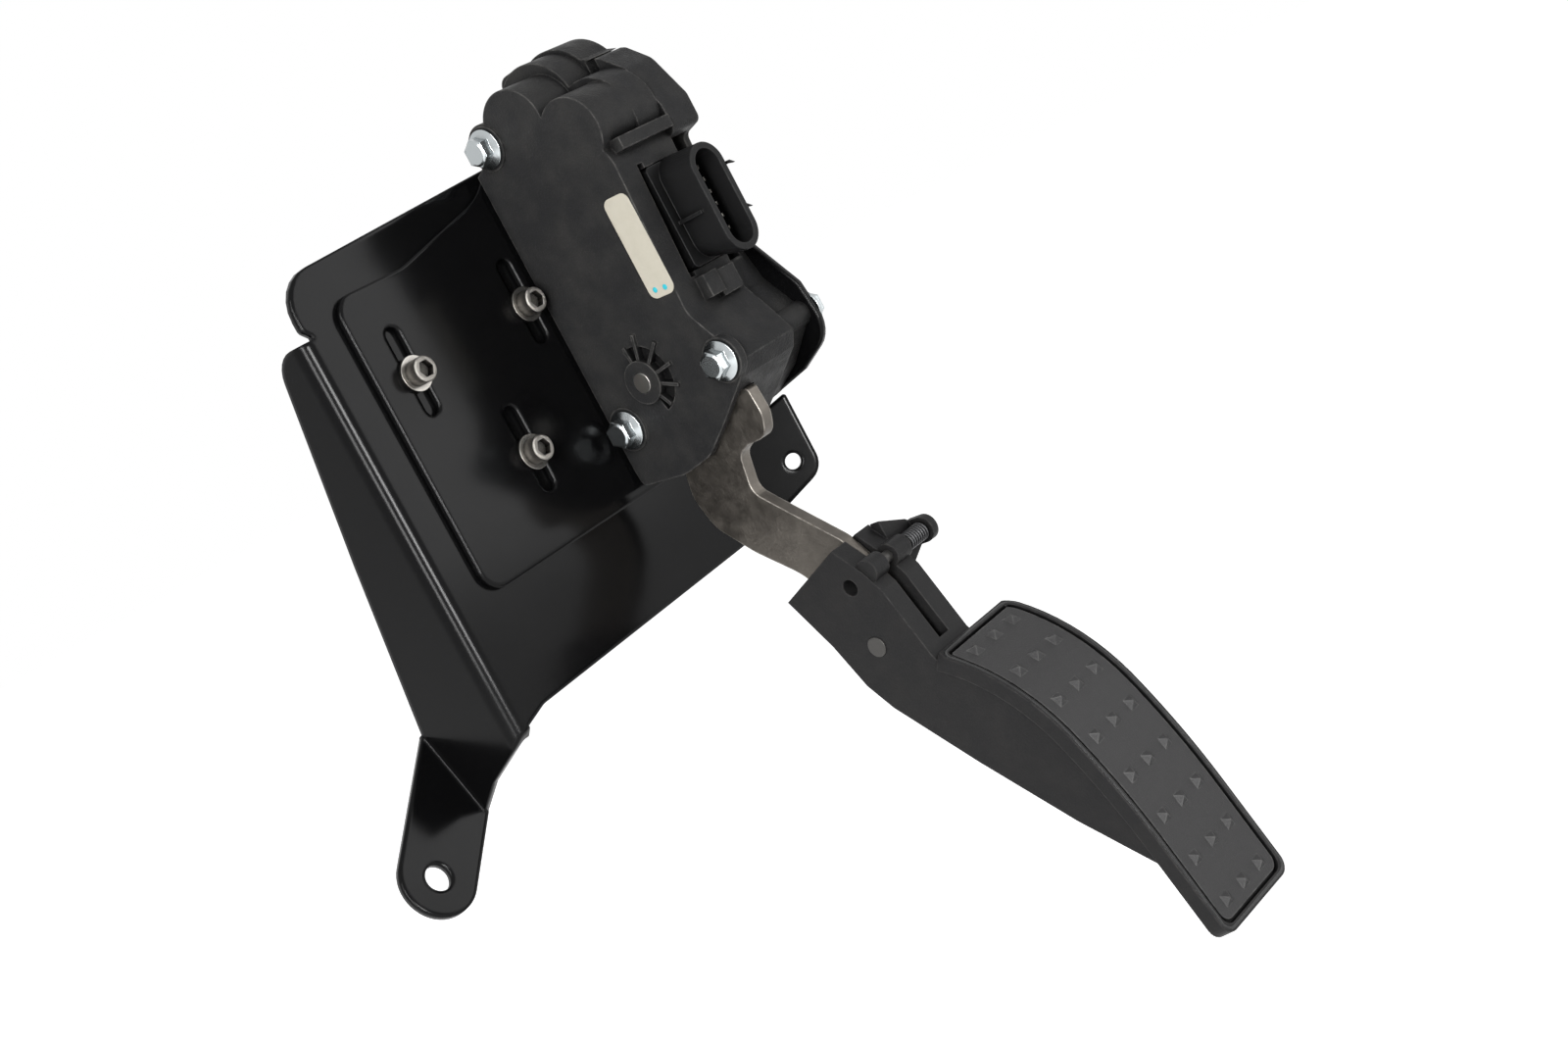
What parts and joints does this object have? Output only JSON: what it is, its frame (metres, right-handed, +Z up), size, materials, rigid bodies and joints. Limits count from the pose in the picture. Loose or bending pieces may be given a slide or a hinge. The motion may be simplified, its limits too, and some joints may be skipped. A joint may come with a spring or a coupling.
{
  "type": "accelerator pedal",
  "caption": "Suspended electronic accelerator pedal: sensor module with plug socket, steel arm and curved studded pad on a folded steel mounting bracket",
  "frame": {"origin": "centre of the bolt hole in the bracket's foot, on the front face of the foot", "axes": "+Z up along the bracket's height; -Y towards the driver, +Y towards the bulkhead; X across the pedal, along the pedal pivot's shaft"},
  "size_m": [0.24, 0.2208, 0.3965],
  "materials": {
    "bracket_paint": "gloss black paint",
    "stainless": "bright stainless steel",
    "zinc": "bright zinc plate",
    "black_nylon": "glass-filled nylon, faint grain",
    "socket_nylon": "glass-filled nylon",
    "board": "printed circuit board",
    "contacts": "tinned brass",
    "rotor_plastic": "moulded plastic",
    "spring_steel": "dark spring steel",
    "shaft_steel": "ground steel",
    "arm_steel": "dark raw steel with paler cut edges",
    "carrier_nylon": "dark moulded plastic",
    "tread_rubber": "textured black rubber",
    "label_film": "bare cream label film"
  },
  "bodies": {
    "mounting": {"bracket": "bracket_paint", "slot_screws": "stainless", "slot_washers": "stainless", "slot_nuts": "stainless"},
    "module": {"module_plate": "bracket_paint", "front_housing": "black_nylon", "rear_housing": "black_nylon", "housing_bolts": "zinc", "housing_nuts": "zinc", "connector_socket": "socket_nylon", "connector_blades": "contacts", "sensor_board": "board", "return_spring_outer": "spring_steel", "return_spring_inner": "spring_steel", "sticker": "label_film"},
    "arm": {"pedal_arm": "arm_steel", "pivot_shaft": "shaft_steel", "sensor_rotor": "rotor_plastic", "spring_drum": "rotor_plastic"},
    "pad": {"pad_carrier": "carrier_nylon", "tread_pad": "tread_rubber", "hinge_pin": "shaft_steel", "lock_spring": "spring_steel"},
    "rod": {"lock_rod": "shaft_steel"}
  },
  "joints": [
    {"name": "height_adjustment", "type": "slide", "parent": "mounting", "child": "module", "axis": [0, 0, 1], "range_m": [-0.012, 0.012]},
    {"name": "pedal_pivot", "type": "hinge", "parent": "module", "child": "arm", "pos_m": [0.15353, -0.06814, 0.12169], "axis": [1, 0, 0], "range_deg": [0, 18], "stiffness_Nm_per_rad": 12, "springref_deg": -25.78},
    {"name": "pad_tilt", "type": "hinge", "parent": "arm", "child": "pad", "pos_m": [0.15328, -0.11534, -0.00431], "axis": [1, 0, 0], "range_deg": [-5, 0]},
    {"name": "lock_slide", "type": "slide", "parent": "pad", "child": "rod", "axis": [1, 0, 0], "range_m": [0, 0.004], "stiffness_N_per_m": 900, "springref_m": -0.004, "deforming": ["lock_spring"]}
  ]
}
